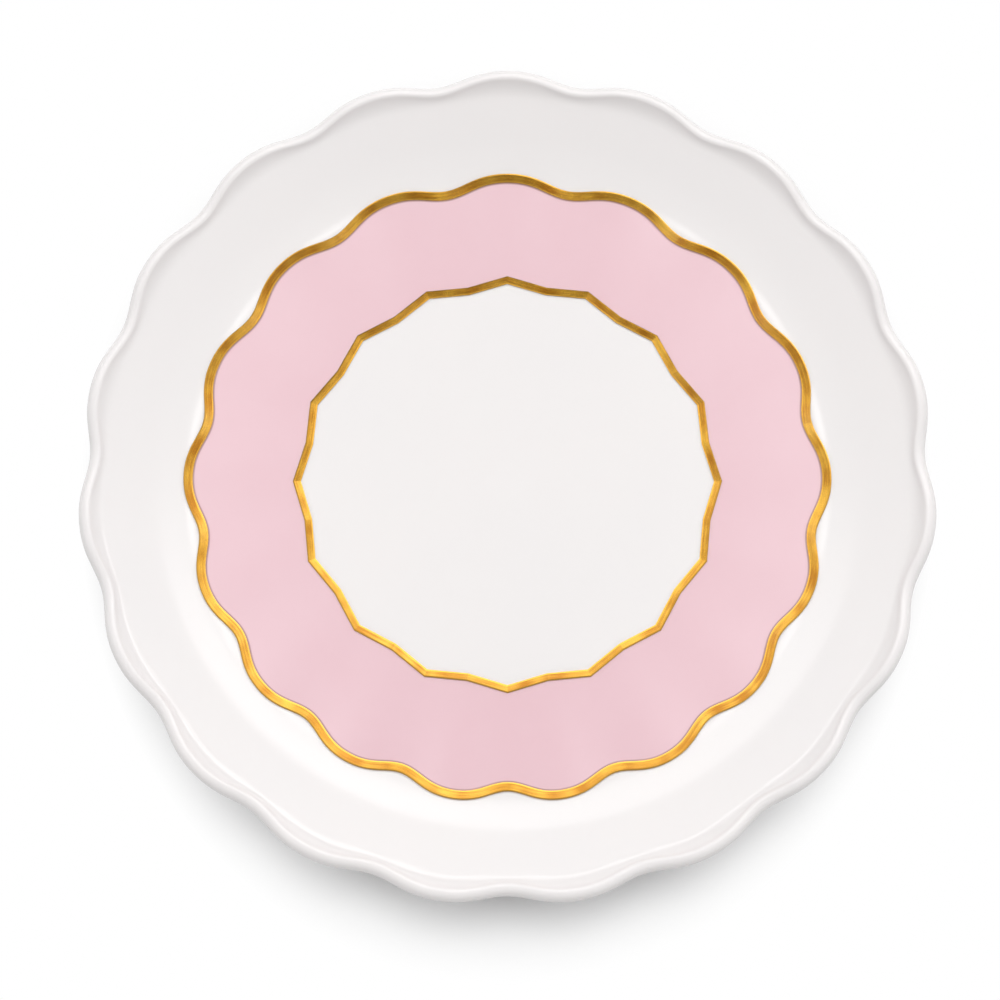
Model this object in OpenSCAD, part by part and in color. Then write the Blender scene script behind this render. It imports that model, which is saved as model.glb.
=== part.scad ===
// Scalloped dessert plate.
// A white porcelain plate with a flat well, a rising wall and a rounded, scalloped lip.
// It stands on a bare foot ring. A pink enamel band lies on the floor of the well,
// between a wavy gold line outside it and a zigzag gold line inside it.
// Millimetres, +Z up, +Y to the back. The origin is on the table, under the plate's middle.

/* [Plate] */
// Distance across the lip, measured as twice the radius to a lobe's tip
plate_across = 210; // [170:1:300]
// Height of the lobes' tips above the table
plate_height = 15.5; // [14:0.5:22]
// Distance from a lobe's tip in to the edge of the flat floor of the well
wall_run = 25; // [20:0.5:36]
// Thickness of the floor of the well
floor_wall = 4.2; // [3:0.1:6]
// Thickness of the lip
lip_wall = 3.9; // [2.8:0.1:5]
// Radius of the lip's inner edge, where the wall's face turns over into the crest
lip_edge_r = 1.2; // [0.3:0.1:1.4]
// Radius of the bend where the floor turns up into the wall
floor_bend_r = 20; // [8:0.5:24]
// Radius of the bend where the wall turns up into the lip
lip_bend_r = 7.5; // [4:0.5:12]
// Angle of the wall to the table, in degrees, where it ends at the lip
lip_angle = 52; // [45:1:70]

/* [Scallops] */
// Number of lobes round the lip
lip_lobe_count = 19; // [12:1:28]
// Depth of the notches between the lobes
lip_lobe_depth = 2.5; // [0.5:0.1:5]
// How far the lip is lower in the notches than at the lobes' tips
lip_dip = 1.4; // [0:0.1:2]
// Share of the notches' depth that is left at the foot of the lip
scallop_foot_share = 0.75; // [0.3:0.05:1]
// How far the lobes at the sides lean towards the front, in degrees
lip_drift_angle = 2; // [0:0.1:6]

/* [Foot ring] */
// Distance from the edge of the floor in to the foot ring
foot_inset = 14; // [8:0.5:30]
// Height of the foot ring, from the table to the underside of the floor
foot_height = 2.6; // [1.5:0.1:5]
// Width of the foot ring, from its inner side to its outer side
foot_width = 5; // [3:0.1:9]
// Radius of the foot ring's two lower edges
foot_edge_r = 1; // [0.3:0.1:1.4]

/* [Wavy gold line] */
// Number of lobes of the wavy line
wave_lobe_count = 17; // [8:1:28]
// Depth of the notches between the wavy line's lobes
wave_depth = 3; // [0.5:0.1:5]
// Width of the wavy line
wave_line_width = 2.25; // [0.8:0.05:3.5]
// Distance from the edge of the floor to the wavy line's outermost tips
wave_inset = 0.2; // [0.2:0.1:6]
// How far the wavy line's lobes at the sides lean towards the front, in degrees
wave_drift_angle = 4.4; // [0:0.1:6]

/* [Zigzag gold line] */
// Number of points of the zigzag line
zigzag_point_count = 16; // [8:1:28]
// Depth of the corners between the zigzag line's points
zigzag_depth = 2; // [0.5:0.1:4]
// Width of the zigzag line
zigzag_line_width = 1.9; // [0.8:0.05:3]

/* [Coats] */
// Distance from the wavy line's tips to the zigzag line's tips
band_width = 26.8; // [15:0.1:45]
// Thickness of the pink enamel
enamel_coat = 0.15; // [0.05:0.05:0.5]
// Height of the gold lines above the floor
gold_relief = 0.5; // [0.2:0.05:1]

/* [Hidden] */
$fn = 96;

// Steps round each lobe, and along each stretch of the section
lip_lobe_steps = 8;
wave_lobe_steps = 16;
bend_steps = 3;
straight_steps = 3;
lip_edge_steps = 2;
lip_round_steps = 4;
// Extra roundness of the lobes over a plain cosine wave
lobe_fullness_share = 0.12;

// Radius of the flat floor, and the heights of its two faces
floor_r = plate_across / 2 - wall_run;
floor_under_z = foot_height;
floor_top_z = floor_under_z + floor_wall;

// Unit vector square to the wall, upwards, at a slope
function across(slope) = [-sin(slope), cos(slope)];

// The section at a lobe's tip. The lip turns over its inner edge to the crest, then round a
// larger arc to the underside: the arc's radius, the two centres, and the ends of both faces.
lip_round_r = (lip_wall - lip_edge_r * (1 - cos(lip_angle))) / (1 + cos(lip_angle));
crest_r = plate_across / 2 - lip_round_r;
lip_edge_centre = [crest_r, plate_height - lip_edge_r];
lip_round_centre = [crest_r, plate_height - lip_round_r];
wall_end = lip_edge_centre + across(lip_angle) * lip_edge_r;
under_end = lip_round_centre - across(lip_angle) * lip_round_r;

// Centres of the wall's two bends. The wall's straight is the line that touches both.
floor_bend_centre = [floor_r, floor_top_z + floor_bend_r];
lip_bend_centre = wall_end + across(lip_angle) * lip_bend_r;
between_centres = lip_bend_centre - floor_bend_centre;
wall_angle = atan2(between_centres.y, between_centres.x)
    + asin((floor_bend_r - lip_bend_r) / norm(between_centres));
straight_start = floor_bend_centre - across(wall_angle) * floor_bend_r;
straight_end = lip_bend_centre - across(wall_angle) * lip_bend_r;

// The wall's upper face from the floor to the lip, as points with their slopes and with the
// shares of the notches' depth by which each is drawn in and let down between the lobes.
// The straight is let down as it is drawn in, so that it stays one cone.
function smooth_share(t) = t * t * (3 - 2 * t);
lip_sink_share = lip_dip / lip_lobe_depth;
foot_sink_share = scallop_foot_share * tan(wall_angle);
wall_face = concat(
    [for (i = [0 : bend_steps - 1])
        let (slope = wall_angle * i / bend_steps)
        [floor_bend_centre - across(slope) * floor_bend_r, slope, 0, 0]],
    [for (i = [0 : straight_steps - 1])
        let (way = i / straight_steps,
             draw = scallop_foot_share * way)
        [straight_start + (straight_end - straight_start) * way, wall_angle, draw, foot_sink_share * way]],
    [for (i = [0 : bend_steps])
        let (way = i / bend_steps,
             slope = wall_angle + (lip_angle - wall_angle) * way,
             draw = scallop_foot_share + (1 - scallop_foot_share) * way,
             sink = foot_sink_share + (lip_sink_share - foot_sink_share) * smooth_share(way))
        [lip_bend_centre - across(slope) * lip_bend_r, slope, draw, sink]]
);

// Thickness of the wall, from the floor's at its foot to the lip's at its upper end
function wall_at(r) = floor_wall + (lip_wall - floor_wall) * (r - floor_r) / (wall_end.x - floor_r);

// The section as radius, height and the two shares: upper face, inner edge, crest, underside
function lip_point(centre, r, slope) =
    let (p = centre + across(slope) * r)
    [p.x, p.y, 1, lip_sink_share];
section = concat(
    [for (f = wall_face) [f[0].x, f[0].y, f[2], f[3]]],
    [for (i = [1 : lip_edge_steps])
        lip_point(lip_edge_centre, lip_edge_r, lip_angle * (1 - i / lip_edge_steps))],
    [for (i = [1 : lip_round_steps])
        lip_point(lip_round_centre, lip_round_r, (lip_angle - 180) * i / lip_round_steps)],
    [for (i = [len(wall_face) - 1 : -1 : 0])
        let (f = wall_face[i],
             p = f[0] - across(f[1]) * wall_at(f[0].x))
        if (p.x < under_end.x) [p.x, p.y, f[2], f[3]]]
);

// A lobed line, as the share of its depth by which it dips at an angle from the back
function lobe_dip(angle, lobes, drift) =
    let (turn = lobes * (angle - drift * sin(angle)))
    (1 - cos(turn)) / 2 - lobe_fullness_share * pow(sin(turn), 2);
function polar(r, angle) = [r * sin(angle), r * cos(angle)];

// A closed line moved outwards by a distance, with mitred corners
function corner_shift(before, here, after, distance) =
    let (a = (here - before) / norm(here - before),
         b = (after - here) / norm(after - here),
         bisector = [-a.y - b.y, a.x + b.x])
    bisector * distance * 2 / (bisector * bisector);
function moved_out(line, distance) = [
    for (i = [0 : len(line) - 1])
        line[i] + corner_shift(line[(i + len(line) - 1) % len(line)], line[i],
                               line[(i + 1) % len(line)], distance)
];

// Middles of the two gold lines, clockwise from the back
wave_tip_r = floor_r - wave_inset - wave_line_width / 2;
zigzag_tip_r = wave_tip_r - band_width;
wave_line = [
    for (i = [0 : wave_lobe_count * wave_lobe_steps - 1])
        let (angle = 360 * i / (wave_lobe_count * wave_lobe_steps))
        polar(wave_tip_r - wave_depth * lobe_dip(angle, wave_lobe_count, wave_drift_angle), angle)
];
zigzag_line = [
    for (i = [0 : 2 * zigzag_point_count - 1])
        polar(zigzag_tip_r - zigzag_depth * (i % 2), 180 * i / zigzag_point_count)
];

// A flat ring on the floor between two closed lines
module laid_ring(outside, inside, height) {
    translate([0, 0, floor_top_z])
        linear_extrude(height)
            difference() {
                polygon(outside);
                polygon(inside);
            }
}

module plate_body() {
    steps = lip_lobe_count * lip_lobe_steps;
    rings = len(section);
    points = [
        for (s = section)
            for (j = [0 : steps - 1])
                let (angle = 360 * j / steps,
                     dip = lip_lobe_depth * lobe_dip(angle, lip_lobe_count, lip_drift_angle),
                     p = polar(s[0] - s[2] * dip, angle))
                [p.x, p.y, s[1] - s[3] * dip]
    ];
    sides = [
        for (i = [0 : rings - 2])
            for (j = [0 : steps - 1])
                let (k = (j + 1) % steps,
                     a = i * steps + j,
                     b = i * steps + k,
                     c = (i + 1) * steps + k,
                     d = (i + 1) * steps + j)
                each [[a, c, b], [a, d, c]]
    ];
    floor_top = [for (j = [0 : steps - 1]) j];
    floor_under = [for (j = [steps - 1 : -1 : 0]) (rings - 1) * steps + j];
    color("#f5f2f0")
        polyhedron(points, concat(sides, [floor_top, floor_under]));
}

module foot_ring() {
    outer_r = floor_r - foot_inset;
    inner_r = outer_r - foot_width;
    color("#e8e0d4")
        rotate_extrude()
            union() {
                translate([inner_r, foot_edge_r])
                    square([foot_width, foot_height - foot_edge_r]);
                translate([inner_r + foot_edge_r, 0])
                    square([foot_width - 2 * foot_edge_r, foot_height]);
                for (r = [inner_r + foot_edge_r, outer_r - foot_edge_r])
                    translate([r, foot_edge_r])
                        circle(foot_edge_r);
            }
}

module pink_band() {
    color("#f1ced5")
        laid_ring(moved_out(wave_line, -wave_line_width / 2),
                  moved_out(zigzag_line, zigzag_line_width / 2), enamel_coat);
}

module wavy_gold_line() {
    color("#d8a03a")
        laid_ring(moved_out(wave_line, wave_line_width / 2),
                  moved_out(wave_line, -wave_line_width / 2), gold_relief);
}

module zigzag_gold_line() {
    color("#d8a03a")
        laid_ring(moved_out(zigzag_line, zigzag_line_width / 2),
                  moved_out(zigzag_line, -zigzag_line_width / 2), gold_relief);
}

plate_body();
foot_ring();
pink_band();
wavy_gold_line();
zigzag_gold_line();
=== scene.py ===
import math

import bmesh
import bpy
from bpy.props import FloatProperty, FloatVectorProperty, IntProperty, PointerProperty
from bpy.types import Operator, Panel, PropertyGroup
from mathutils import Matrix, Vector


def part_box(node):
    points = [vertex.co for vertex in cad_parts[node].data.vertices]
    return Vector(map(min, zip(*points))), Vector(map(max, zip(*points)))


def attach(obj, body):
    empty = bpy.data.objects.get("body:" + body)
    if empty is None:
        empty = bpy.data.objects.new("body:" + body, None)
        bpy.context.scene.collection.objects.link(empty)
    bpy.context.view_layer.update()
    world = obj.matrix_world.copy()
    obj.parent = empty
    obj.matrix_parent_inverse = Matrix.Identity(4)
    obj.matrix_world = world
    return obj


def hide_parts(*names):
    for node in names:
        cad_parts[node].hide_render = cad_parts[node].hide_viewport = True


bl_info = {
    "name": "Scalloped Dessert Plate",
    "version": (1, 0, 0),
    "blender": (4, 5, 0),
    "location": "3D View > Sidebar > Plate",
    "description": "Dresses a white scalloped plate with its glaze, pink band and gold lines",
    "category": "Object",
}

# Frame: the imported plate, and the sizes that are read from it
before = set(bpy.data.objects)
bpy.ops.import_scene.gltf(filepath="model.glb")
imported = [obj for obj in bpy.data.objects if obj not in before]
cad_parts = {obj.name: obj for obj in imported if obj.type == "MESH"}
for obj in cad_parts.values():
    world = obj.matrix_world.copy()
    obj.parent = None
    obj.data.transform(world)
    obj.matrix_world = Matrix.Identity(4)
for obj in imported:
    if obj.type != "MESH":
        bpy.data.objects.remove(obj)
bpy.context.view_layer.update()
body_low, body_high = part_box("plate_body")
band_low, band_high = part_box("pink_band")
wave_low, wave_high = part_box("wavy_gold_line")

MM = 0.001
FULL_TURN = 2 * math.pi
WHITE = (1, 1, 1, 1)

# Steps along the bends, the straight and the lip of the body's section, and round each lobe
BEND_STEPS = 12
STRAIGHT_STEPS = 8
LIP_EDGE_STEPS = 8
LIP_ROUND_STEPS = 12
LOBE_STEPS = 24
# Steps round the foot ring, and over each of its lower edges
FOOT_STEPS = 192
FOOT_EDGE_STEPS = 5
# Steps along each straight of the zigzag line. The wavy line has as many steps in all.
ZIGZAG_STEPS = 17
# Rings of the pink band that lie against the wavy line, where its painted mauve shade is full
SEAM_SHADE_RINGS = 2
# Rings of a gold line's section between which its two bevels lie, whose faces get a painted highlight
BEVEL_RINGS = ({1, 2}, {3, 4})
# Vertices that are closer than this become one
MERGE_DISTANCE = 0.002 * MM
# The studio floor in metres, and the width of the camera's film in millimetres
FLOOR_RADIUS = 12
FLOOR_SIDES = 64
FILM_WIDTH = 36


def length(label, words, default):
    """A property that holds a length in metres."""
    return FloatProperty(name=label, description=words, default=default, min=0, precision=5,
                         subtype="DISTANCE", unit="LENGTH")


def angle(label, words, degrees):
    """A property that holds an angle, given here in degrees."""
    return FloatProperty(name=label, description=words, default=math.radians(degrees),
                         subtype="ANGLE", unit="ROTATION")


def count(label, words, default):
    """A property that holds a whole number of repeats."""
    return IntProperty(name=label, description=words, default=default, min=3)


def colour(label, words, default):
    """A property that holds a linear colour."""
    return FloatVectorProperty(name=label, description=words, default=default, size=3,
                               min=0, max=1, subtype="COLOR")


def level(label, words, default):
    """A property that holds a plain strength or factor."""
    return FloatProperty(name=label, description=words, default=default, min=0)


def span(label, words, default):
    """A property that holds a low and a high level."""
    return FloatVectorProperty(name=label, description=words, default=default, size=2, min=0)


# Properties

class PlateBodySizes(PropertyGroup):
    """Sizes of the plate itself, as a section at a lobe's tip."""
    lip_r: length("Lip radius", "Radius to a lobe's tip", body_high.y)
    top_z: length("Height", "Height of the lip above the table", body_high.z)
    floor_z: length("Floor height", "Height of the well's floor above the table", band_low.z)
    under_z: length("Underside height", "Height of the floor's underside", body_low.z)
    wall_run: length("Wall run", "Distance from a lobe's tip in to the floor's edge", 25 * MM)
    lip_wall: length("Lip thickness", "Thickness of the lip", 3.9 * MM)
    lip_edge: length("Lip edge", "Radius of the lip's inner edge", 1.2 * MM)
    floor_bend: length("Floor bend", "Radius of the bend from the floor to the wall", 20 * MM)
    pool_run: length("Pool run", "Distance from the floor's edge in to where the glaze pools", 6.8 * MM)
    pool_bend: length("Pool bend", "Radius of the pooled glaze in the floor's bend", 47 * MM)
    lip_bend: length("Lip bend", "Radius of the bend from the wall to the lip", 7.5 * MM)
    lip_angle: angle("Lip angle", "Slope of the wall where it ends at the lip", 52)
    lobes: count("Lobes", "Number of lobes round the lip", 19)
    lobe_depth: length("Lobe depth", "Depth of the notches between the lobes", 2.5 * MM)
    foot_share: level("Foot share", "Share of the lobes' depth that reaches the foot of the lip", 0.75)
    lip_dip: length("Lip dip", "How far the lip is lower in the notches than at the tips", 1.4 * MM)
    drift: angle("Lobe drift", "How far the side lobes lean to the front", 2.0)
    fullness: level("Lobe fullness", "Extra roundness of the lobes over a cosine", 0.12)


class FootRingSizes(PropertyGroup):
    """Sizes of the bare standing ring."""
    inset: length("Inset", "Distance from the floor's edge in to the ring", 14 * MM)
    width: length("Width", "Width of the ring", 5 * MM)
    edge: length("Edge radius", "Radius of the lower edges", 1 * MM)


class DecorSizes(PropertyGroup):
    """Sizes of the pink band and of its two gold lines."""
    wave_tip: length("Wave radius", "Radius to the wavy line's outermost tips", wave_high.y)
    wave_width: length("Wave width", "Width of the wavy gold line", 2.25 * MM)
    wave_depth: length("Wave depth", "Depth of the notches of the wavy line", 3 * MM)
    wave_lobes: count("Wave lobes", "Number of lobes of the wavy line", 17)
    wave_drift: angle("Wave drift", "How far the wave's side lobes lean to the front", 4.4)
    bevel: length("Gold bevel", "Width of the bevels along the gold lines' edges", 0.32 * MM)
    outer_slope: angle("Outer bevel slope", "Slope of the gold lines' outer bevels", 25)
    inner_slope: angle("Inner bevel slope", "Slope of the gold lines' inner bevels", 8)
    wave_lean: angle("Wave lean", "How far the wavy line's top leans to the middle", 4.2)
    zigzag_lean: angle("Zigzag lean", "How far the zigzag line's top leans to the middle", 8)
    # Width of the strip of painted mauve shade along the wavy line
    seam_shade_width: length("Pool width", "Width of the pooled enamel along the wavy line", 0.55 * MM)
    band_width: length("Band width", "Distance from the wave's tips to the zigzag's tips", 26.8 * MM)
    zigzag_width: length("Zigzag width", "Width of the zigzag gold line", 1.9 * MM)
    zigzag_depth: length("Zigzag depth", "Depth of the corners of the zigzag line", 2 * MM)
    zigzag_points: count("Zigzag points", "Number of points of the zigzag line", 16)
    enamel: length("Enamel", "Thickness of the pink enamel", band_high.z - band_low.z)
    relief: length("Relief", "Height of the gold lines", wave_high.z - wave_low.z)


class PlateColours(PropertyGroup):
    """Colours of the fired finishes, with a painted mauve shade on the enamel and a painted highlight on
    the gilding's bevels.
    """
    glaze: colour("Glaze", "White of the glaze", (0.88, 0.85, 0.842))
    pool: colour("Pooled glaze", "Tone of the glaze where it lies thick", (0.866, 0.84, 0.836))
    enamel: colour("Enamel", "Pink of the band", (0.805, 0.546, 0.596))
    enamel_deep: colour("Deep enamel", "Pink where the enamel lies thick", (0.796, 0.532, 0.582))
    # Painted shade: mauve of the enamel where the raised gold line meets it
    enamel_seam_shade: colour("Enamel edge", "Mauve of the enamel along the wavy line", (0.5, 0.29, 0.27))
    gold: colour("Gold", "Colour of the gilding", (0.51, 0.278, 0.03))
    # Darker gold, reached where rubbing and the painted sheen dim the gilding
    gold_deep: colour("Deep gold", "Colour of the gilding where it is worn", (0.325, 0.127, 0.004))
    # Painted highlight: lighter gold on the bevels along the lines' edges
    gold_edge_highlight: colour("Edge gold", "Colour of the gilding along its bevels", (0.62, 0.345, 0.05))
    bare: colour("Bare porcelain", "Colour of the unglazed foot", (0.72, 0.66, 0.58))
    bare_dark: colour("Foot grain", "Darker grain of the unglazed foot", (0.58, 0.52, 0.44))


class FinishSettings(PropertyGroup):
    """Gloss, grain and rubbing of the finishes, with the gilding's painted sheen and the enamel's painted
    mauve shade. A scale is the number of features in a metre.
    """
    coat_ior: level("Coat index", "Refraction of the glaze and of the enamel", 1.5)
    coat_depth: span("Coat depth", "Levels of the mottle at which a coat is thin and thick", (0.35, 0.75))
    glaze_gloss: span("Glaze gloss", "Lowest and highest roughness of the glaze", (0.06, 0.1))
    glaze_mottle: level("Glaze mottle", "Scale of the glaze's drift in tone", 22)
    glaze_ripple: level("Glaze ripple", "Scale of the glaze's ripple", 60)
    glaze_bump: length("Glaze bump", "Height of the glaze's ripple", 0.02 * MM)
    enamel_gloss: span("Enamel gloss", "Lowest and highest roughness of the enamel", (0.14, 0.18))
    enamel_mottle: level("Enamel mottle", "Scale of the enamel's drift in tone", 60)
    enamel_ripple: level("Enamel ripple", "Scale of the enamel's ripple", 400)
    enamel_bump: length("Enamel bump", "Height of the enamel's ripple", 0.01 * MM)
    # Levels at which the painted mauve shade along the wavy line starts and is full
    seam_shade_fade: span("Pool fade", "Depths of the pool at which the mauve starts and is full", (0.1, 0.6))
    gold_gloss: span("Gold gloss", "Lowest and highest roughness of the gilding", (0.2, 0.3))
    gold_bump: length("Gold bump", "Depth of the brushing", 0.03 * MM)
    brush_along: level("Brush along", "Scale of the brushing along a line", 110)
    brush_across: level("Brush across", "Scale of the brushing across a line", 2200)
    # The painted sheen: lighter and darker stretches along the lines, mixed with the brushing and each
    # piece's own tone
    sheen_along: level("Patch along", "Scale along a line of the patches that go right across it", 150)
    sheen_share: level("Patch share", "Share of the patches in the wear, against the brushing", 0.62)
    piece_share: level("Piece share", "Share of each piece's own tone in the wear", 0.1)
    wear_and_sheen: span("Wear", "Levels of wear at which the gold starts to darken and is darkest", (0.4, 0.6))
    shine: level("Shine", "Weight of the clear shine over the gilding", 0.2)
    shine_gloss: level("Shine gloss", "Roughness of the shine over the gilding", 0.12)
    shine_ior: level("Shine index", "Refraction of the shine over the gilding", 1.8)
    bare_gloss: span("Foot gloss", "Lowest and highest roughness of the bare foot", (0.7, 0.9))
    bare_grain: level("Foot grain", "Scale of the bare foot's grain", 900)
    bare_depth: span("Foot depth", "Levels of the grain at which the foot is pale and dark", (0.4, 0.7))
    bare_bump: length("Foot bump", "Height of the bare foot's grain", 0.05 * MM)


class StageSettings(PropertyGroup):
    """The camera, the light and the floor."""
    distance: length("Camera distance", "Distance from the camera to the plate", 0.75)
    elevation: angle("Camera elevation", "Height of the camera above the horizon", 76.5)
    aim_x: FloatProperty(name="Aim X", description="Sideways place that the camera looks at",
                         default=-1.84 * MM, subtype="DISTANCE", unit="LENGTH")
    aim_y: FloatProperty(name="Aim Y", description="Lengthways place that the camera looks at",
                         default=-3.05 * MM, subtype="DISTANCE", unit="LENGTH")
    lens: FloatProperty(name="Lens", description="Focal length", default=108.7, unit="CAMERA")
    ambient: level("Ambient", "Brightness of the room round the plate", 0.907)
    panel_glow: level("Panel glow", "How much brighter the soft panel over the back is", 1.6)
    panel_near: angle("Panel near edge", "Angle of the panel's near edge from the mirrored camera", 9)
    panel_far: angle("Panel far edge", "Angle of the panel's far edge from the mirrored camera", 26.5)
    panel_half: angle("Panel half turn", "How far the panel reaches round to each side", 72)
    flare_glow: level("Flare glow", "How much brighter still the panel is round to the right", 0.8)
    flare_near: angle("Flare near edge", "Angle of the flare's near edge from the mirrored camera", 12)
    flare_far: angle("Flare far edge", "Angle of the flare's far edge from the mirrored camera", 24)
    wall_glow: level("Wall glow", "How much brighter the back is between the panel and the strip", 2.6)
    wall_near: angle("Wall light near edge", "Angle of this edge from the mirrored camera", 33)
    wall_far: angle("Wall light far edge", "Angle of this edge from the mirrored camera", 39)
    wall_half: angle("Wall light half turn", "How far the wall light reaches round to each side", 58)
    strip_glow: level("Strip glow", "How much brighter the lower strip at the back is", 3.4)
    strip_near: angle("Strip near edge", "Angle of the strip's near edge from the mirrored camera", 41)
    strip_far: angle("Strip far edge", "Angle of the strip's far edge from the mirrored camera", 48)
    strip_turn: angle("Strip turn", "How far round to the right the middle of the strip is", 40)
    strip_half: angle("Strip half turn", "How far the strip reaches round from its middle", 38)
    shade_dim: level("Shade", "How much darker the room is above and behind the camera", 0.3)
    shade_near: angle("Shade near edge", "Angle of the shade's near edge from the mirrored camera", 3)
    shade_far: angle("Shade far edge", "Angle of the shade's far edge from the mirrored camera", 60)
    shade_half: angle("Shade half turn", "How far the shade reaches round to each side", 28)
    core_dim: level("Shade core", "How much darker still the shade is at its near edge", 0.35)
    core_far: angle("Shade core edge", "Angle of the core's far edge from the mirrored camera", 20)
    halo_glow: level("Halo glow", "How much brighter an arc at each side of the mirrored camera is", 3.4)
    halo_near: angle("Halo near edge", "Angle of the arcs' near edge from the mirrored camera", 4.8)
    halo_far: angle("Halo far edge", "Angle of the arcs' far edge from the mirrored camera", 8.8)
    halo_half: angle("Halo half turn", "How far each arc reaches to the back and the front", 65)
    halo_end: angle("Halo end", "Softness of the arcs' ends", 15)
    gap_dim: level("Gap", "How much darker the back is under the strip", 0.8)
    gap_near: angle("Gap near edge", "Angle of the gap's near edge from the mirrored camera", 46)
    gap_far: angle("Gap far edge", "Angle of the gap's far edge from the mirrored camera", 64)
    gap_half: angle("Gap half turn", "How far the gap reaches round to each side", 60)
    low_dim: level("Low room", "How much darker the room is low down at the front and sides", 0.25)
    low_near: angle("Low room edge", "Angle of the low room's edge from the mirrored camera", 55)
    low_half: angle("Low room half turn", "How far the low room reaches round to each side", 120)
    low_edge: angle("Low room softness", "Softness of the low room's edge", 18)
    light_edge: angle("Light edge", "Softness of the near and far edges", 1.5)
    light_end: angle("Light end", "Softness of the ends", 25)
    floor_white: level("Floor white", "Brightness of the floor as it is seen", 1.0)
    floor_bounce: level("Floor bounce", "Share of its light that the floor throws back", 0.45)
    shadow_full: length("Shadow start", "Radius at which the shadow starts to fade", 98 * MM)
    shadow_end: length("Shadow end", "Radius at which the shadow has faded to white", 122 * MM)
    shadow_narrow: level("Shadow narrowing", "How much sooner the shadow fades to the sides", 1.15)
    floor_tilt: angle("Floor tilt", "Backward tilt of the floor's shading, which moves its shadow", 28)


class PlateSettings(PropertyGroup):
    """Everything that a user of the plate would change."""
    body: PointerProperty(type=PlateBodySizes)
    foot: PointerProperty(type=FootRingSizes)
    decor: PointerProperty(type=DecorSizes)
    colours: PointerProperty(type=PlateColours)
    finish: PointerProperty(type=FinishSettings)
    stage: PointerProperty(type=StageSettings)


def settings():
    """The plate's settings in the present scene."""
    return bpy.context.scene.dessert_plate


# Lines and sections

def lobe_dip(turn_angle, lobes, drift, fullness):
    """Share of its depth by which a lobed line dips, at an angle from the back."""
    turn = lobes * (turn_angle - drift * math.sin(turn_angle))
    return (1 - math.cos(turn)) / 2 - fullness * math.sin(turn) ** 2


def across(slope):
    """Unit vector square to a face at a slope, upwards, as radius and height."""
    return Vector((-math.sin(slope), math.cos(slope)))


def smooth_share(value):
    """A share that eases in and out between 0 and 1."""
    value = min(max(value, 0), 1)
    return value * value * (3 - 2 * value)


def floor_radius():
    """Radius of the flat floor of the well, before the glaze pools."""
    body = settings().body
    return body.lip_r - body.wall_run


def lip_round():
    """Radius of the lip's outer round, which follows from its thickness and its inner edge."""
    body = settings().body
    lean = math.cos(body.lip_angle)
    return (body.lip_wall - body.lip_edge * (1 - lean)) / (1 + lean)


def lip_centre(radius):
    """Middle of an arc of the lip, which touches the crest, at a lobe's tip."""
    body = settings().body
    return Vector((body.lip_r - lip_round(), body.top_z - radius))


def wall_face(floor_r, floor_bend):
    """The wall's face from the floor to the lip: points, slopes, and two shares of the lobes' depth.

    The straight touches both bends. The first share draws a point in between the lobes,
    and the second lowers it, so that the straight part of the wall stays one cone.
    """
    body = settings().body
    wall_end = lip_centre(body.lip_edge) + across(body.lip_angle) * body.lip_edge
    floor_centre = Vector((floor_r, body.floor_z + floor_bend))
    bend_centre = wall_end + across(body.lip_angle) * body.lip_bend
    between = bend_centre - floor_centre
    wall_angle = math.atan2(between.y, between.x)
    wall_angle += math.asin((floor_bend - body.lip_bend) / between.length)
    straight_start = floor_centre - across(wall_angle) * floor_bend
    straight_end = bend_centre - across(wall_angle) * body.lip_bend
    foot_sink = body.foot_share * math.tan(wall_angle)
    lip_sink = body.lip_dip / body.lobe_depth

    face = []
    for i in range(BEND_STEPS):
        slope = wall_angle * i / BEND_STEPS
        face.append((floor_centre - across(slope) * floor_bend, slope, 0, 0))
    for i in range(STRAIGHT_STEPS):
        way = i / STRAIGHT_STEPS
        place = straight_start.lerp(straight_end, way)
        face.append((place, wall_angle, body.foot_share * way, foot_sink * way))
    for i in range(BEND_STEPS + 1):
        way = i / BEND_STEPS
        slope = wall_angle + (body.lip_angle - wall_angle) * way
        draw = body.foot_share + (1 - body.foot_share) * way
        sink = foot_sink + (lip_sink - foot_sink) * smooth_share(way)
        face.append((bend_centre - across(slope) * body.lip_bend, slope, draw, sink))
    return face


def plate_section():
    """The plate's section from the axis over the lip and back, as (radius, height, draw, sink)."""
    body = settings().body
    floor_r = floor_radius()
    floor_wall = body.floor_z - body.under_z
    pool_r = floor_r - body.pool_run
    glazed = wall_face(pool_r, body.pool_bend)
    clay = wall_face(floor_r, body.floor_bend)
    lip_r = glazed[-1][0].x

    def wall_at(radius):
        """Thickness of the plate at a radius, from the floor's to the lip's."""
        way_up = (radius - floor_r) / (lip_r - floor_r)
        return floor_wall + (body.lip_wall - floor_wall) * way_up

    section = [(0, body.floor_z, 0, 0)]
    section += [(place.x, place.y, draw, sink) for place, slope, draw, sink in glazed]
    lip_sink = body.lip_dip / body.lobe_depth
    for i in range(1, LIP_EDGE_STEPS + 1):
        slope = body.lip_angle * (1 - i / LIP_EDGE_STEPS)
        place = lip_centre(body.lip_edge) + across(slope) * body.lip_edge
        section.append((place.x, place.y, 1, lip_sink))
    for i in range(1, LIP_ROUND_STEPS + 1):
        slope = (body.lip_angle - math.pi) * i / LIP_ROUND_STEPS
        place = lip_centre(lip_round()) + across(slope) * lip_round()
        section.append((place.x, place.y, 1, lip_sink))
    round_end = place.x
    for place, slope, draw, sink in reversed(clay):
        under = place - across(slope) * wall_at(place.x)
        if under.x < round_end:
            section.append((under.x, under.y, draw, sink))
    section.append((0, body.under_z, 0, 0))
    return section


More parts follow.
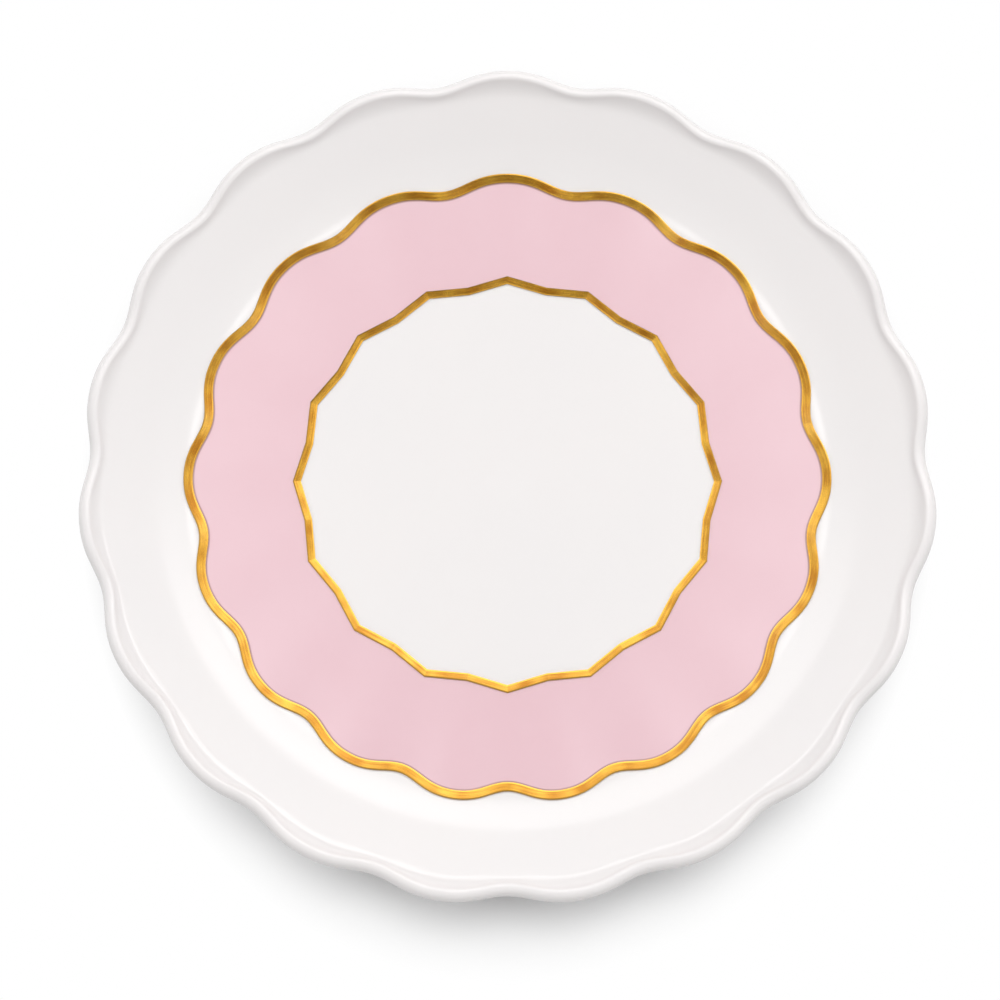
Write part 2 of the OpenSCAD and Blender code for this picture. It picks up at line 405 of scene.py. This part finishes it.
def glaze_height(radius):
    """Height of the glaze on the floor, which rises where it pools towards the wall."""
    body = settings().body
    past = max(0, radius - (floor_radius() - body.pool_run))
    return body.floor_z + body.pool_bend - math.sqrt(body.pool_bend ** 2 - past ** 2)


def line_steps(decor):
    """Steps round each of the two gold lines, which the pink band joins step by step."""
    return 2 * decor.zigzag_points * ZIGZAG_STEPS


def at_turn(radius, turn):
    """A place on the plate, by its radius and its angle clockwise from the back."""
    return Vector((radius * math.sin(turn), radius * math.cos(turn)))


def wave_line(decor, fullness):
    """Middle of the wavy line, clockwise from the back."""
    tip_r = decor.wave_tip - decor.wave_width / 2
    steps = line_steps(decor)
    line = []
    for i in range(steps):
        turn = FULL_TURN * i / steps
        dip = decor.wave_depth * lobe_dip(turn, decor.wave_lobes, decor.wave_drift, fullness)
        line.append(at_turn(tip_r - dip, turn))
    return line


def wave_pieces(decor):
    """The lobe of the wavy line that each of its steps is on, from notch to notch."""
    steps = line_steps(decor)
    pieces = []
    for i in range(steps):
        turn = FULL_TURN * i / steps
        tips_passed = decor.wave_lobes * (turn - decor.wave_drift * math.sin(turn)) / FULL_TURN
        nearest_tip = math.floor(tips_passed + 1 / 2)
        pieces.append(nearest_tip % decor.wave_lobes)
    return pieces


def zigzag_line(decor):
    """Middle of the zigzag line, clockwise from the back, with its straights cut into steps."""
    tip_r = decor.wave_tip - decor.wave_width / 2 - decor.band_width
    corners = []
    for i in range(2 * decor.zigzag_points):
        radius = tip_r - decor.zigzag_depth * (i % 2)
        corners.append(at_turn(radius, math.pi * i / decor.zigzag_points))
    line = []
    for i, corner in enumerate(corners):
        after = corners[(i + 1) % len(corners)]
        line += [corner.lerp(after, step / ZIGZAG_STEPS) for step in range(ZIGZAG_STEPS)]
    return line


def zigzag_pieces(decor):
    """The straight of the zigzag line that each of its steps is on."""
    return [i // ZIGZAG_STEPS for i in range(line_steps(decor))]


def strip_section(width, lean):
    """Section of a gold line, as distances out from its middle and heights, from the outer foot."""
    decor = settings().decor
    side = width / 2
    shoulder = side - decor.bevel
    low = decor.relief - 2 * shoulder * math.tan(lean)
    return (
        (side, 0),
        (side, decor.relief - decor.bevel * math.tan(decor.outer_slope)),
        (shoulder, decor.relief),
        (-shoulder, low),
        (-side, low - decor.bevel * math.tan(decor.inner_slope)),
        (-side, 0),
    )


def moved_out(line, distance):
    """A closed line moved outwards by a distance, with mitred corners."""
    moved = []
    for i, here in enumerate(line):
        before = (here - line[i - 1]).normalized()
        after = (line[(i + 1) % len(line)] - here).normalized()
        bisector = Vector((-before.y - after.y, before.x + after.x))
        moved.append(here + bisector * (2 * distance / bisector.length_squared))
    return moved


# Meshes

def finished(name, bm, replaced, material, smooth=True):
    """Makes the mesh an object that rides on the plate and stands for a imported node."""
    bmesh.ops.remove_doubles(bm, verts=bm.verts, dist=MERGE_DISTANCE)
    bmesh.ops.recalc_face_normals(bm, faces=bm.faces)
    if not bm.faces:
        raise RuntimeError(f"{name} has no faces")
    for layer in list(bm.verts.layers.int):
        bm.verts.layers.int.remove(layer)
    for face in bm.faces:
        face.smooth = smooth
    mesh = bpy.data.meshes.new(name)
    bm.to_mesh(mesh)
    bm.free()
    mesh.materials.append(material)
    piece = bpy.data.objects.new(name, mesh)
    bpy.context.scene.collection.objects.link(piece)
    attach(piece, "root")
    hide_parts(replaced)


def swept_ring(bm, rings):
    """A closed tube laid on the glaze, through rings of points that run round the plate.

    Each ring is a line and its height above the glaze. A vertex keeps its station and its ring.
    The last extrusion comes back to the first ring, where finished() merges the two.
    """
    station = bm.verts.layers.int.new("station")
    ring = bm.verts.layers.int.new("ring")
    first_line = rings[0][0]
    verts = bmesh.ops.create_circle(bm, cap_ends=False, radius=1, segments=len(first_line))["verts"]
    for i, vert in enumerate(verts):
        vert[station] = i
    edges = list(bm.edges)
    for number, (line, lift) in enumerate(rings + rings[:1]):
        if number:
            grown = bmesh.ops.extrude_edge_only(bm, edges=edges)["geom"]
            verts = [part for part in grown if isinstance(part, bmesh.types.BMVert)]
            edges = [part for part in grown if isinstance(part, bmesh.types.BMEdge)]
        for vert in verts:
            point = line[vert[station]]
            vert.co = (point.x, point.y, glaze_height(point.length) + lift)
            vert[ring] = number % len(rings)
    return station, ring


def lay_gold_line(name, line, strip, pieces, mitred, replaced, gilding):
    """Sweeps a gold line's section along its middle, with a UV map that runs along the line.

    Each face knows the lobe or straight that it is on, and whether it is a bevel, which gets a painted
    highlight.
    """
    bm = bmesh.new()
    uv = bm.loops.layers.uv.new("line")
    piece = bm.faces.layers.float.new("piece")
    edge_highlight = bm.faces.layers.float.new("edge_highlight")
    station, ring = swept_ring(bm, [(moved_out(line, out), up) for out, up in strip])
    around = sum((after - here).length for here, after in zip(line, line[1:] + line[:1]))
    pitch = around / len(line)
    for face in bm.faces:
        stations = [loop.vert[station] for loop in face.loops]
        rings = {loop.vert[ring] for loop in face.loops}
        # Bevel faces get the painted highlight
        face[edge_highlight] = 1 if rings in BEVEL_RINGS else 0
        wraps = max(stations) - min(stations) > 1
        face[piece] = pieces[max(stations) if wraps else min(stations)]
        for loop, here in zip(face.loops, stations):
            here += len(line) if wraps and here == 0 else 0
            loop[uv].uv = (here * pitch, strip[loop.vert[ring]][0])
    for edge in bm.edges:
        one, other = edge.verts
        lengthwise = one[ring] == other[ring]
        joint = mitred and pieces[one[station]] != pieces[one[station] - 1]
        edge.smooth = not (lengthwise or joint)
    finished(name, bm, replaced, gilding)


# Materials

def new_material(name):
    """A new material with its node tree and its shader."""
    material = bpy.data.materials.new(name)
    material.use_nodes = True
    tree = material.node_tree
    return material, tree, tree.nodes["Principled BSDF"]


def add(tree, kind, **values):
    """Adds a node, with its options and its unlinked inputs set by name."""
    node = tree.nodes.new(kind)
    for key, value in values.items():
        if hasattr(node, key):
            setattr(node, key, value)
        else:
            node.inputs[key.replace("_", " ")].default_value = value
    return node


def fired_coat_group():
    """Mottle and ripple of a fired coat: a colour that drifts, a roughness and a surface height."""
    coat_depth = settings().finish.coat_depth
    if "Fired Coat" in bpy.data.node_groups:
        return bpy.data.node_groups["Fired Coat"]
    group = bpy.data.node_groups.new("Fired Coat", "ShaderNodeTree")
    face = group.interface
    for label, kind, default in (
        ("Thin", "NodeSocketColor", WHITE),
        ("Thick", "NodeSocketColor", (0.9, 0.9, 0.9, 1)),
        ("Mottle Scale", "NodeSocketFloat", 40),
        ("Ripple Scale", "NodeSocketFloat", 90),
        ("Gloss Low", "NodeSocketFloat", 0.08),
        ("Gloss High", "NodeSocketFloat", 0.14),
    ):
        face.new_socket(label, in_out="INPUT", socket_type=kind).default_value = default
    for label, kind in (("Colour", "NodeSocketColor"), ("Roughness", "NodeSocketFloat"),
                        ("Height", "NodeSocketFloat")):
        face.new_socket(label, in_out="OUTPUT", socket_type=kind)
    link = group.links.new
    inlet = group.nodes.new("NodeGroupInput")
    outlet = group.nodes.new("NodeGroupOutput")
    place = group.nodes.new("ShaderNodeTexCoord")
    mottle = add(group, "ShaderNodeTexNoise", Detail=3, Roughness=0.5)
    ripple = add(group, "ShaderNodeTexNoise", Detail=1.5, Roughness=0.4)
    depth = add(group, "ShaderNodeMapRange", From_Min=coat_depth[0], From_Max=coat_depth[1])
    tone = add(group, "ShaderNodeMix", data_type="RGBA")
    gloss = group.nodes.new("ShaderNodeMapRange")
    for noise, scale in ((mottle, "Mottle Scale"), (ripple, "Ripple Scale")):
        link(place.outputs["Object"], noise.inputs["Vector"])
        link(inlet.outputs[scale], noise.inputs["Scale"])
    link(mottle.outputs["Fac"], depth.inputs["Value"])
    link(depth.outputs["Result"], tone.inputs["Factor"])
    link(inlet.outputs["Thin"], tone.inputs["A"])
    link(inlet.outputs["Thick"], tone.inputs["B"])
    link(ripple.outputs["Fac"], gloss.inputs["Value"])
    link(inlet.outputs["Gloss Low"], gloss.inputs["To Min"])
    link(inlet.outputs["Gloss High"], gloss.inputs["To Max"])
    link(tone.outputs["Result"], outlet.inputs["Colour"])
    link(gloss.outputs["Result"], outlet.inputs["Roughness"])
    link(ripple.outputs["Fac"], outlet.inputs["Height"])
    return group


def coat_material(name, thin, thick, mottle, ripple, gloss, bump_height):
    """A glassy fired coat that drifts between two tones and ripples a little."""
    material, tree, shader = new_material(name)
    coat = tree.nodes.new("ShaderNodeGroup")
    coat.node_tree = fired_coat_group()
    coat.inputs["Thin"].default_value = (*thin, 1)
    coat.inputs["Thick"].default_value = (*thick, 1)
    coat.inputs["Mottle Scale"].default_value = mottle
    coat.inputs["Ripple Scale"].default_value = ripple
    coat.inputs["Gloss Low"].default_value = gloss[0]
    coat.inputs["Gloss High"].default_value = gloss[1]
    bump = add(tree, "ShaderNodeBump", Strength=1, Distance=bump_height)
    link = tree.links.new
    link(coat.outputs["Colour"], shader.inputs["Base Color"])
    link(coat.outputs["Roughness"], shader.inputs["Roughness"])
    link(coat.outputs["Height"], bump.inputs["Height"])
    link(bump.outputs["Normal"], shader.inputs["Normal"])
    shader.inputs["IOR"].default_value = settings().finish.coat_ior
    return material


def glaze_material():
    """Glossy white glaze."""
    tones = settings().colours
    finish = settings().finish
    return coat_material("plate_white_glaze", tones.glaze, tones.pool, finish.glaze_mottle,
                         finish.glaze_ripple, finish.glaze_gloss, finish.glaze_bump)


def enamel_material():
    """Satin enamel with a painted mauve shade along the wavy line, where the raised gold meets it."""
    tones = settings().colours
    finish = settings().finish
    material = coat_material("plate_pink_enamel", tones.enamel, tones.enamel_deep, finish.enamel_mottle,
                             finish.enamel_ripple, finish.enamel_gloss, finish.enamel_bump)
    tree = material.node_tree
    link = tree.links.new
    coat = next(node for node in tree.nodes if node.type == "GROUP")
    # Painted shade: the pink turns mauve along the wavy line, where the raised gold meets it
    edge = add(tree, "ShaderNodeAttribute", attribute_name="pooled")
    pooled = add(tree, "ShaderNodeMapRange", interpolation_type="SMOOTHSTEP",
                 From_Min=finish.seam_shade_fade[0], From_Max=finish.seam_shade_fade[1])
    tone = add(tree, "ShaderNodeMix", data_type="RGBA")
    tone.inputs["B"].default_value = (*tones.enamel_seam_shade, 1)
    link(edge.outputs["Fac"], pooled.inputs["Value"])
    link(pooled.outputs["Result"], tone.inputs["Factor"])
    link(coat.outputs["Colour"], tone.inputs["A"])
    link(tone.outputs["Result"], tree.nodes["Principled BSDF"].inputs["Base Color"])
    return material


def gold_material():
    """Polished gilding brushed along the line, with rubbed places and a painted sheen that make it
    lighter and darker in stretches along the line, an own tone for each piece, and a painted highlight on
    its bevels.
    """
    tones = settings().colours
    finish = settings().finish
    material, tree, shader = new_material("plate_gilding")
    link = tree.links.new
    place = add(tree, "ShaderNodeUVMap", uv_map="line")
    stretch = add(tree, "ShaderNodeMapping", Scale=(finish.brush_along, finish.brush_across, 1))
    brushed = add(tree, "ShaderNodeTexNoise", Scale=1, Detail=3, Roughness=0.55)
    # Painted sheen: lighter and darker stretches along the line
    along = add(tree, "ShaderNodeMapping", Scale=(finish.sheen_along, 0, 1))
    sheen_patches = add(tree, "ShaderNodeTexNoise", Scale=1, Detail=1, Roughness=0.5)
    brushing_and_sheen = add(tree, "ShaderNodeMix", Factor=finish.sheen_share)
    piece = add(tree, "ShaderNodeAttribute", attribute_name="piece")
    own = add(tree, "ShaderNodeTexWhiteNoise", noise_dimensions="1D")
    share = add(tree, "ShaderNodeMix", Factor=finish.piece_share)
    # Mask of rubbing and painted sheen, from the gold to the darker gold
    dimmed_by_wear_and_sheen = add(tree, "ShaderNodeMapRange", From_Min=finish.wear_and_sheen[0], From_Max=finish.wear_and_sheen[1])
    tone = add(tree, "ShaderNodeMix", data_type="RGBA")
    # Painted highlight: the bevels get a lighter gold
    edge = add(tree, "ShaderNodeAttribute", attribute_name="edge_highlight")
    with_edge_highlight = add(tree, "ShaderNodeMix", data_type="RGBA")
    gloss = add(tree, "ShaderNodeMapRange", To_Min=finish.gold_gloss[0], To_Max=finish.gold_gloss[1])
    bump = add(tree, "ShaderNodeBump", Strength=1, Distance=finish.gold_bump)
    tone.inputs["A"].default_value = (*tones.gold, 1)
    tone.inputs["B"].default_value = (*tones.gold_deep, 1)
    with_edge_highlight.inputs["B"].default_value = (*tones.gold_edge_highlight, 1)
    link(place.outputs["UV"], stretch.inputs["Vector"])
    link(stretch.outputs["Vector"], brushed.inputs["Vector"])
    link(piece.outputs["Fac"], own.inputs["W"])
    link(place.outputs["UV"], along.inputs["Vector"])
    link(along.outputs["Vector"], sheen_patches.inputs["Vector"])
    link(brushed.outputs["Fac"], brushing_and_sheen.inputs["A"])
    link(sheen_patches.outputs["Fac"], brushing_and_sheen.inputs["B"])
    link(brushing_and_sheen.outputs["Result"], share.inputs["A"])
    link(own.outputs["Value"], share.inputs["B"])
    link(share.outputs["Result"], dimmed_by_wear_and_sheen.inputs["Value"])
    link(brushed.outputs["Fac"], gloss.inputs["Value"])
    link(brushed.outputs["Fac"], bump.inputs["Height"])
    link(dimmed_by_wear_and_sheen.outputs["Result"], tone.inputs["Factor"])
    link(tone.outputs["Result"], with_edge_highlight.inputs["A"])
    link(edge.outputs["Fac"], with_edge_highlight.inputs["Factor"])
    link(with_edge_highlight.outputs["Result"], shader.inputs["Base Color"])
    link(gloss.outputs["Result"], shader.inputs["Roughness"])
    link(bump.outputs["Normal"], shader.inputs["Normal"])
    shader.inputs["Metallic"].default_value = 1
    shader.inputs["Coat Weight"].default_value = finish.shine
    shader.inputs["Coat Roughness"].default_value = finish.shine_gloss
    shader.inputs["Coat IOR"].default_value = finish.shine_ior
    return material


def bare_material():
    """Matt unglazed porcelain, with a fine grain."""
    tones = settings().colours
    finish = settings().finish
    material, tree, shader = new_material("plate_bare_foot")
    link = tree.links.new
    place = tree.nodes.new("ShaderNodeTexCoord")
    grain = add(tree, "ShaderNodeTexNoise", Scale=finish.bare_grain, Detail=5, Roughness=0.7)
    spread = add(tree, "ShaderNodeMapRange",
                 From_Min=finish.bare_depth[0], From_Max=finish.bare_depth[1])
    tone = add(tree, "ShaderNodeMix", data_type="RGBA")
    gloss = add(tree, "ShaderNodeMapRange", To_Min=finish.bare_gloss[0], To_Max=finish.bare_gloss[1])
    bump = add(tree, "ShaderNodeBump", Strength=1, Distance=finish.bare_bump)
    tone.inputs["A"].default_value = (*tones.bare, 1)
    tone.inputs["B"].default_value = (*tones.bare_dark, 1)
    link(place.outputs["Object"], grain.inputs["Vector"])
    link(grain.outputs["Fac"], spread.inputs["Value"])
    link(grain.outputs["Fac"], gloss.inputs["Value"])
    link(grain.outputs["Fac"], bump.inputs["Height"])
    link(spread.outputs["Result"], tone.inputs["Factor"])
    link(tone.outputs["Result"], shader.inputs["Base Color"])
    link(gloss.outputs["Result"], shader.inputs["Roughness"])
    link(bump.outputs["Normal"], shader.inputs["Normal"])
    return material


def grey(value):
    """A colour of one value."""
    return (value, value, value, 1)


def floor_material(stage):
    """White floor that keeps the plate's shadow close to it, and is clear from below.

    That is how the camera and reflections see it. Other light bounces off a plain floor.
    """
    material = bpy.data.materials.new("studio_floor")
    material.use_nodes = True
    tree = material.node_tree
    tree.nodes.clear()
    link = tree.links.new
    out = tree.nodes.new("ShaderNodeOutputMaterial")
    path = tree.nodes.new("ShaderNodeLightPath")
    place = tree.nodes.new("ShaderNodeTexCoord")
    reach = add(tree, "ShaderNodeVectorMath", operation="LENGTH")
    narrowed = add(tree, "ShaderNodeVectorMath", operation="MULTIPLY")
    narrowed.inputs[1].default_value = (stage.shadow_narrow, 1, 1)
    fade = add(tree, "ShaderNodeMapRange", From_Min=stage.shadow_full, From_Max=stage.shadow_end)
    seen = add(tree, "ShaderNodeMath", operation="MAXIMUM")
    either = add(tree, "ShaderNodeMath", operation="MAXIMUM")
    near = add(tree, "ShaderNodeBsdfDiffuse", Color=grey(stage.floor_white))
    far = add(tree, "ShaderNodeEmission", Color=WHITE, Strength=1)
    plain = add(tree, "ShaderNodeBsdfDiffuse", Color=grey(stage.floor_bounce))
    shown = tree.nodes.new("ShaderNodeMixShader")
    whole = tree.nodes.new("ShaderNodeMixShader")
    surface = tree.nodes.new("ShaderNodeNewGeometry")
    clear = tree.nodes.new("ShaderNodeBsdfTransparent")
    one_way = tree.nodes.new("ShaderNodeMixShader")
    facing = add(tree, "ShaderNodeCombineXYZ",
                 Y=math.sin(stage.floor_tilt), Z=math.cos(stage.floor_tilt))
    link(facing.outputs["Vector"], near.inputs["Normal"])
    link(place.outputs["Object"], narrowed.inputs[0])
    link(narrowed.outputs["Vector"], reach.inputs[0])
    link(reach.outputs["Value"], fade.inputs["Value"])
    link(fade.outputs["Result"], shown.inputs["Fac"])
    link(near.outputs["BSDF"], shown.inputs[1])
    link(far.outputs["Emission"], shown.inputs[2])
    link(path.outputs["Is Camera Ray"], seen.inputs[0])
    link(path.outputs["Is Glossy Ray"], seen.inputs[1])
    link(seen.outputs["Value"], either.inputs[0])
    link(path.outputs["Is Transmission Ray"], either.inputs[1])
    link(either.outputs["Value"], whole.inputs["Fac"])
    link(plain.outputs["BSDF"], whole.inputs[1])
    link(shown.outputs["Shader"], whole.inputs[2])
    link(surface.outputs["Backfacing"], one_way.inputs["Fac"])
    link(whole.outputs["Shader"], one_way.inputs[1])
    link(clear.outputs["BSDF"], one_way.inputs[2])
    link(one_way.outputs["Shader"], out.inputs["Surface"])
    return material


def soft_band(tree, value, low, high, soft):
    """A mask that is 1 between two angles and fades over a soft edge at each."""
    rise = add(tree, "ShaderNodeMapRange", interpolation_type="SMOOTHSTEP",
               From_Min=low - soft, From_Max=low + soft)
    fall = add(tree, "ShaderNodeMapRange", interpolation_type="SMOOTHSTEP",
               From_Min=high - soft, From_Max=high + soft, To_Min=1, To_Max=0)
    both = add(tree, "ShaderNodeMath", operation="MULTIPLY")
    for i, side in enumerate((rise, fall)):
        tree.links.new(value, side.inputs["Value"])
        tree.links.new(side.outputs["Result"], both.inputs[i])
    return both.outputs["Value"]


def room_angles(tree, stage):
    """Angles in the room: off the direction in which the well mirrors the camera, and round it.

    The angles round it start from the back, the front, the nearer side and the middle of the strip.
    """
    link = tree.links.new
    place = tree.nodes.new("ShaderNodeTexCoord")
    turned = add(tree, "ShaderNodeVectorRotate", rotation_type="X_AXIS",
                 Angle=math.pi / 2 - stage.elevation)
    split = tree.nodes.new("ShaderNodeSeparateXYZ")
    off_mirror = add(tree, "ShaderNodeMath", operation="ARCCOSINE")
    front = add(tree, "ShaderNodeMath", operation="MULTIPLY")
    front.inputs[1].default_value = -1
    aside = add(tree, "ShaderNodeMath", operation="ABSOLUTE")
    link(place.outputs["Generated"], turned.inputs["Vector"])
    link(turned.outputs["Vector"], split.inputs["Vector"])
    link(split.outputs["Z"], off_mirror.inputs[0])
    link(split.outputs["Y"], front.inputs[0])
    link(split.outputs["X"], aside.inputs[0])
    turns = {}
    for side, athwart, facing in (
        ("back", split.outputs["X"], split.outputs["Y"]),
        ("front", split.outputs["X"], front.outputs["Value"]),
        ("sides", split.outputs["Y"], aside.outputs["Value"]),
    ):
        turn = add(tree, "ShaderNodeMath", operation="ARCTAN2")
        link(athwart, turn.inputs[0])
        link(facing, turn.inputs[1])
        turns[side] = turn.outputs["Value"]
    right = add(tree, "ShaderNodeMath", operation="SUBTRACT")
    right.inputs[1].default_value = stage.strip_turn
    link(turns["back"], right.inputs[0])
    turns["right"] = right.outputs["Value"]
    return off_mirror.outputs["Value"], turns


def studio_room(stage):
    """The room's light: a plain level with soft bands that are brighter or darker."""
    world = bpy.data.worlds.new("studio_room")
    world.use_nodes = True
    tree = world.node_tree
    link = tree.links.new
    background = tree.nodes["Background"]
    off_mirror, turns = room_angles(tree, stage)
    total = None
    edge = stage.light_edge
    end = stage.light_end
    for side, glow, near, far, half, edge_soft, end_soft in (
        ("back", stage.panel_glow, stage.panel_near, stage.panel_far, stage.panel_half, edge, end),
        ("back", stage.wall_glow, stage.wall_near, stage.wall_far, stage.wall_half, edge, end),
        ("right", stage.flare_glow, stage.flare_near, stage.flare_far, stage.strip_half, edge, end),
        ("right", stage.strip_glow, stage.strip_near, stage.strip_far, stage.strip_half, edge, end),
        ("sides", stage.halo_glow, stage.halo_near, stage.halo_far, stage.halo_half, edge,
         stage.halo_end),
        ("back", -stage.gap_dim, stage.gap_near, stage.gap_far, stage.gap_half, edge, end),
        ("front", -stage.shade_dim, stage.shade_near, stage.shade_far, stage.shade_half, edge, end),
        ("front", -stage.core_dim, stage.shade_near, stage.core_far, stage.shade_half, edge, end),
        ("front", -stage.low_dim, stage.low_near, FULL_TURN, stage.low_half, stage.low_edge, end),
    ):
        reach = add(tree, "ShaderNodeMath", operation="MULTIPLY")
        link(soft_band(tree, off_mirror, near, far, edge_soft), reach.inputs[0])
        link(soft_band(tree, turns[side], -half, half, end_soft), reach.inputs[1])
        added = add(tree, "ShaderNodeMath", operation="MULTIPLY_ADD")
        added.inputs[1].default_value = glow
        added.inputs[2].default_value = stage.ambient
        link(reach.outputs["Value"], added.inputs[0])
        if total:
            link(total, added.inputs[2])
        total = added.outputs["Value"]
    link(total, background.inputs["Strength"])
    background.inputs["Color"].default_value = WHITE
    return world


# Operators

class PLATE_OT_body(Operator):
    """Build the glazed plate: spin its section round the axis, then draw its lip in between the lobes"""
    bl_idname = "plate.body"
    bl_label = "Plate Body"

    def execute(self, context):
        body = settings().body
        bm = bmesh.new()
        drawn = bm.verts.layers.float.new("drawn")
        sunk = bm.verts.layers.float.new("sunk")
        verts = []
        for radius, height, draw, sink in plate_section():
            vert = bm.verts.new((0, radius, height))
            vert[drawn] = draw
            vert[sunk] = sink
            verts.append(vert)
        edges = [bm.edges.new(pair) for pair in zip(verts, verts[1:])]
        bmesh.ops.spin(bm, geom=verts + edges, cent=(0, 0, 0), axis=(0, 0, 1), angle=FULL_TURN,
                       steps=LOBE_STEPS * body.lobes, use_merge=True)
        for vert in bm.verts:
            if vert[drawn]:
                turn = math.atan2(vert.co.x, vert.co.y)
                dip = body.lobe_depth * lobe_dip(turn, body.lobes, body.drift, body.fullness)
                kept = 1 - vert[drawn] * dip / vert.co.xy.length
                vert.co.x *= kept
                vert.co.y *= kept
                vert.co.z -= vert[sunk] * dip
        for name in ("drawn", "sunk"):
            bm.verts.layers.float.remove(bm.verts.layers.float[name])
        finished("plate_glazed_body", bm, "plate_body", glaze_material())
        return {"FINISHED"}


class PLATE_OT_foot(Operator):
    """Build the bare foot ring: a square section spun round the axis, with its lower edges rounded"""
    bl_idname = "plate.foot"
    bl_label = "Foot Ring"

    def execute(self, context):
        foot = settings().foot
        outer = floor_radius() - foot.inset
        inner = outer - foot.width
        top = settings().body.under_z
        bm = bmesh.new()
        corners = ((inner, 0), (outer, 0), (outer, top), (inner, top))
        verts = [bm.verts.new((0, radius, height)) for radius, height in corners]
        edges = [bm.edges.new(pair) for pair in zip(verts, verts[1:] + verts[:1])]
        bmesh.ops.spin(bm, geom=verts + edges, cent=(0, 0, 0), axis=(0, 0, 1), angle=FULL_TURN,
                       steps=FOOT_STEPS, use_merge=True)
        bmesh.ops.remove_doubles(bm, verts=bm.verts, dist=MERGE_DISTANCE)
        lower = []
        for edge in bm.edges:
            one, other = edge.verts
            round_axis = abs(one.co.xy.length - other.co.xy.length) < foot.edge / 2
            if round_axis and one.co.z < top / 2 and other.co.z < top / 2:
                lower.append(edge)
        bmesh.ops.bevel(bm, geom=lower, offset=foot.edge, offset_type="OFFSET", segments=FOOT_EDGE_STEPS,
                        profile=0.5, affect="EDGES", material=-1)
        finished("plate_foot_ring", bm, "foot_ring", bare_material())
        return {"FINISHED"}


class PLATE_OT_band(Operator):
    """Lay the pink enamel band on the floor, from the wavy gold line in to the zigzag one"""
    bl_idname = "plate.band"
    bl_label = "Pink Band"

    def execute(self, context):
        decor = settings().decor
        wave = wave_line(decor, settings().body.fullness)
        outside = moved_out(wave, -decor.wave_width / 2)
        past_seam_shade = moved_out(wave, -decor.wave_width / 2 - decor.seam_shade_width)
        inside = moved_out(zigzag_line(decor), decor.zigzag_width / 2)
        top = decor.enamel
        bm = bmesh.new()
        _, ring = swept_ring(bm, [(outside, 0), (outside, top), (past_seam_shade, top),
                                  (inside, top), (inside, 0)])
        # Painted mauve shade: full at the rings against the wavy line, fading out across the next strip
        pooled = bm.verts.layers.float.new("pooled")
        for vert in bm.verts:
            vert[pooled] = 1 if vert[ring] < SEAM_SHADE_RINGS else 0
        finished("plate_pink_band", bm, "pink_band", enamel_material(), smooth=False)
        return {"FINISHED"}


class PLATE_OT_gold(Operator):
    """Lay the two raised gold lines, each a flat strip that leans towards the middle of the plate"""
    bl_idname = "plate.gold"
    bl_label = "Gold Lines"

    def execute(self, context):
        decor = settings().decor
        gilding = gold_material()
        lay_gold_line("plate_wavy_gold_line", wave_line(decor, settings().body.fullness),
                      strip_section(decor.wave_width, decor.wave_lean), wave_pieces(decor),
                      mitred=False, replaced="wavy_gold_line", gilding=gilding)
        lay_gold_line("plate_zigzag_gold_line", zigzag_line(decor),
                      strip_section(decor.zigzag_width, decor.zigzag_lean), zigzag_pieces(decor),
                      mitred=True, replaced="zigzag_gold_line", gilding=gilding)
        return {"FINISHED"}


class PLATE_OT_stage(Operator):
    """Set the white floor, the room's soft light and the camera"""
    bl_idname = "plate.stage"
    bl_label = "Stage"

    def execute(self, context):
        stage = settings().stage
        scene = context.scene

        bm = bmesh.new()
        bmesh.ops.create_circle(bm, cap_ends=True, radius=FLOOR_RADIUS, segments=FLOOR_SIDES)
        mesh = bpy.data.meshes.new("studio_floor")
        bm.to_mesh(mesh)
        bm.free()
        mesh.materials.append(floor_material(stage))
        floor = bpy.data.objects.new("studio_floor", mesh)
        scene.collection.objects.link(floor)

        scene.world = studio_room(stage)

        eye = bpy.data.cameras.new("photo_camera")
        eye.sensor_width = FILM_WIDTH
        eye.lens = stage.lens
        camera = bpy.data.objects.new("photo_camera", eye)
        back = Vector((0, -math.cos(stage.elevation), math.sin(stage.elevation)))
        camera.location = Vector((stage.aim_x, stage.aim_y, 0)) + back * stage.distance
        camera.rotation_euler = (math.pi / 2 - stage.elevation, 0, 0)
        scene.collection.objects.link(camera)
        scene.camera = camera
        scene.view_settings.view_transform = "Standard"
        return {"FINISHED"}


class PLATE_PT_sidebar(Panel):
    """Lists the plate's pieces and sizes."""
    bl_label = "Dessert Plate"
    bl_idname = "PLATE_PT_sidebar"
    bl_space_type = "VIEW_3D"
    bl_region_type = "UI"
    bl_category = "Plate"

    def draw(self, context):
        for operator in OPERATORS:
            self.layout.operator(operator.bl_idname)
        plate = settings()
        for title, group in (("Body", plate.body), ("Foot", plate.foot), ("Decoration", plate.decor),
                             ("Colours", plate.colours), ("Finishes", plate.finish),
                             ("Stage", plate.stage)):
            box = self.layout.box()
            box.label(text=title)
            for name in group.__annotations__:
                box.prop(group, name)


GROUPS = (PlateBodySizes, FootRingSizes, DecorSizes, PlateColours, FinishSettings, StageSettings,
          PlateSettings)
OPERATORS = (PLATE_OT_body, PLATE_OT_foot, PLATE_OT_band, PLATE_OT_gold, PLATE_OT_stage)
CLASSES = (*GROUPS, *OPERATORS, PLATE_PT_sidebar)


def register():
    """Registers the classes and gives each scene its plate settings."""
    for cls in CLASSES:
        bpy.utils.register_class(cls)
    bpy.types.Scene.dessert_plate = PointerProperty(type=PlateSettings)


def unregister():
    """Takes the settings and the classes away again."""
    del bpy.types.Scene.dessert_plate
    for cls in reversed(CLASSES):
        bpy.utils.unregister_class(cls)


def main():
    """Builds the plate and its stage."""
    register()
    bpy.ops.plate.body()
    bpy.ops.plate.foot()
    bpy.ops.plate.band()
    bpy.ops.plate.gold()
    bpy.ops.plate.stage()


if __name__ == "__main__":
    main()
